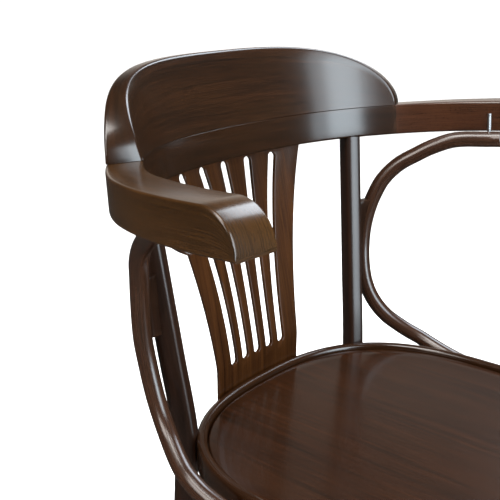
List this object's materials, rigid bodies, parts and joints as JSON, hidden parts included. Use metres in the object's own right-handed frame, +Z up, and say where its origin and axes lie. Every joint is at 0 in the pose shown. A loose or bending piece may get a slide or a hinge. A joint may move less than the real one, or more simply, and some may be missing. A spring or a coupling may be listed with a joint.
{
  "type": "bistro armchair",
  "caption": "Bentwood bistro armchair with a curved crest, a fan of slots in the back splat, open side hoops under the arms and a hoop stretcher.",
  "frame": {"origin": "on the floor, under the middle of the chair's footprint box", "axes": "+Z up, the chair faces -Y, +X to the right as seen from the front"},
  "size_m": [0.6166, 0.4482, 0.8093],
  "materials": {
    "rail_wood": "dark walnut stain under satin lacquer",
    "arm_wood": "dark walnut stain under satin lacquer",
    "splat_wood": "warm walnut stain under satin lacquer",
    "ring_wood": "dark walnut stain under satin lacquer",
    "panel_wood": "dark walnut stain under satin lacquer",
    "leg_wood": "dark walnut stain under satin lacquer",
    "hoop_wood": "dark walnut stain under satin lacquer",
    "dowel_wood": "bare beech",
    "screw_steel": "zinc plated",
    "bolt_steel": "zinc plated",
    "glide_plastic": "matt dark brown"
  },
  "bodies": {
    "root": {"arm_dowel_left_high": "dowel_wood", "arm_dowel_left_low": "dowel_wood", "arm_dowel_right_high": "dowel_wood", "arm_dowel_right_low": "dowel_wood", "arm_left": "arm_wood", "arm_right": "arm_wood", "back_rail": "rail_wood", "crest_dowel_left": "dowel_wood", "crest_dowel_middle": "dowel_wood", "crest_dowel_right": "dowel_wood", "crest_rail": "rail_wood", "front_leg_left": "leg_wood", "front_leg_right": "leg_wood", "glide_front_left": "glide_plastic", "glide_front_right": "glide_plastic", "glide_rear_left": "glide_plastic", "glide_rear_right": "glide_plastic", "hoop_arm_screw_left": "screw_steel", "hoop_arm_screw_right": "screw_steel", "hoop_leg_screw_left": "screw_steel", "hoop_leg_screw_right": "screw_steel", "hoop_seat_screw_left": "screw_steel", "hoop_seat_screw_right": "screw_steel", "hoop_spacer_left": "hoop_wood", "hoop_spacer_right": "hoop_wood", "leg_bolt_left": "bolt_steel", "leg_bolt_right": "bolt_steel", "rear_leg_left": "leg_wood", "rear_leg_right": "leg_wood", "seat_panel": "panel_wood", "seat_ring": "ring_wood", "side_hoop_left": "hoop_wood", "side_hoop_right": "hoop_wood", "splat": "splat_wood", "splat_screw_left": "screw_steel", "splat_screw_right": "screw_steel", "stretcher_ring": "hoop_wood", "stretcher_screw_front_left": "screw_steel", "stretcher_screw_front_right": "screw_steel", "stretcher_screw_rear_left": "screw_steel", "stretcher_screw_rear_right": "screw_steel"}
  },
  "joints": []
}
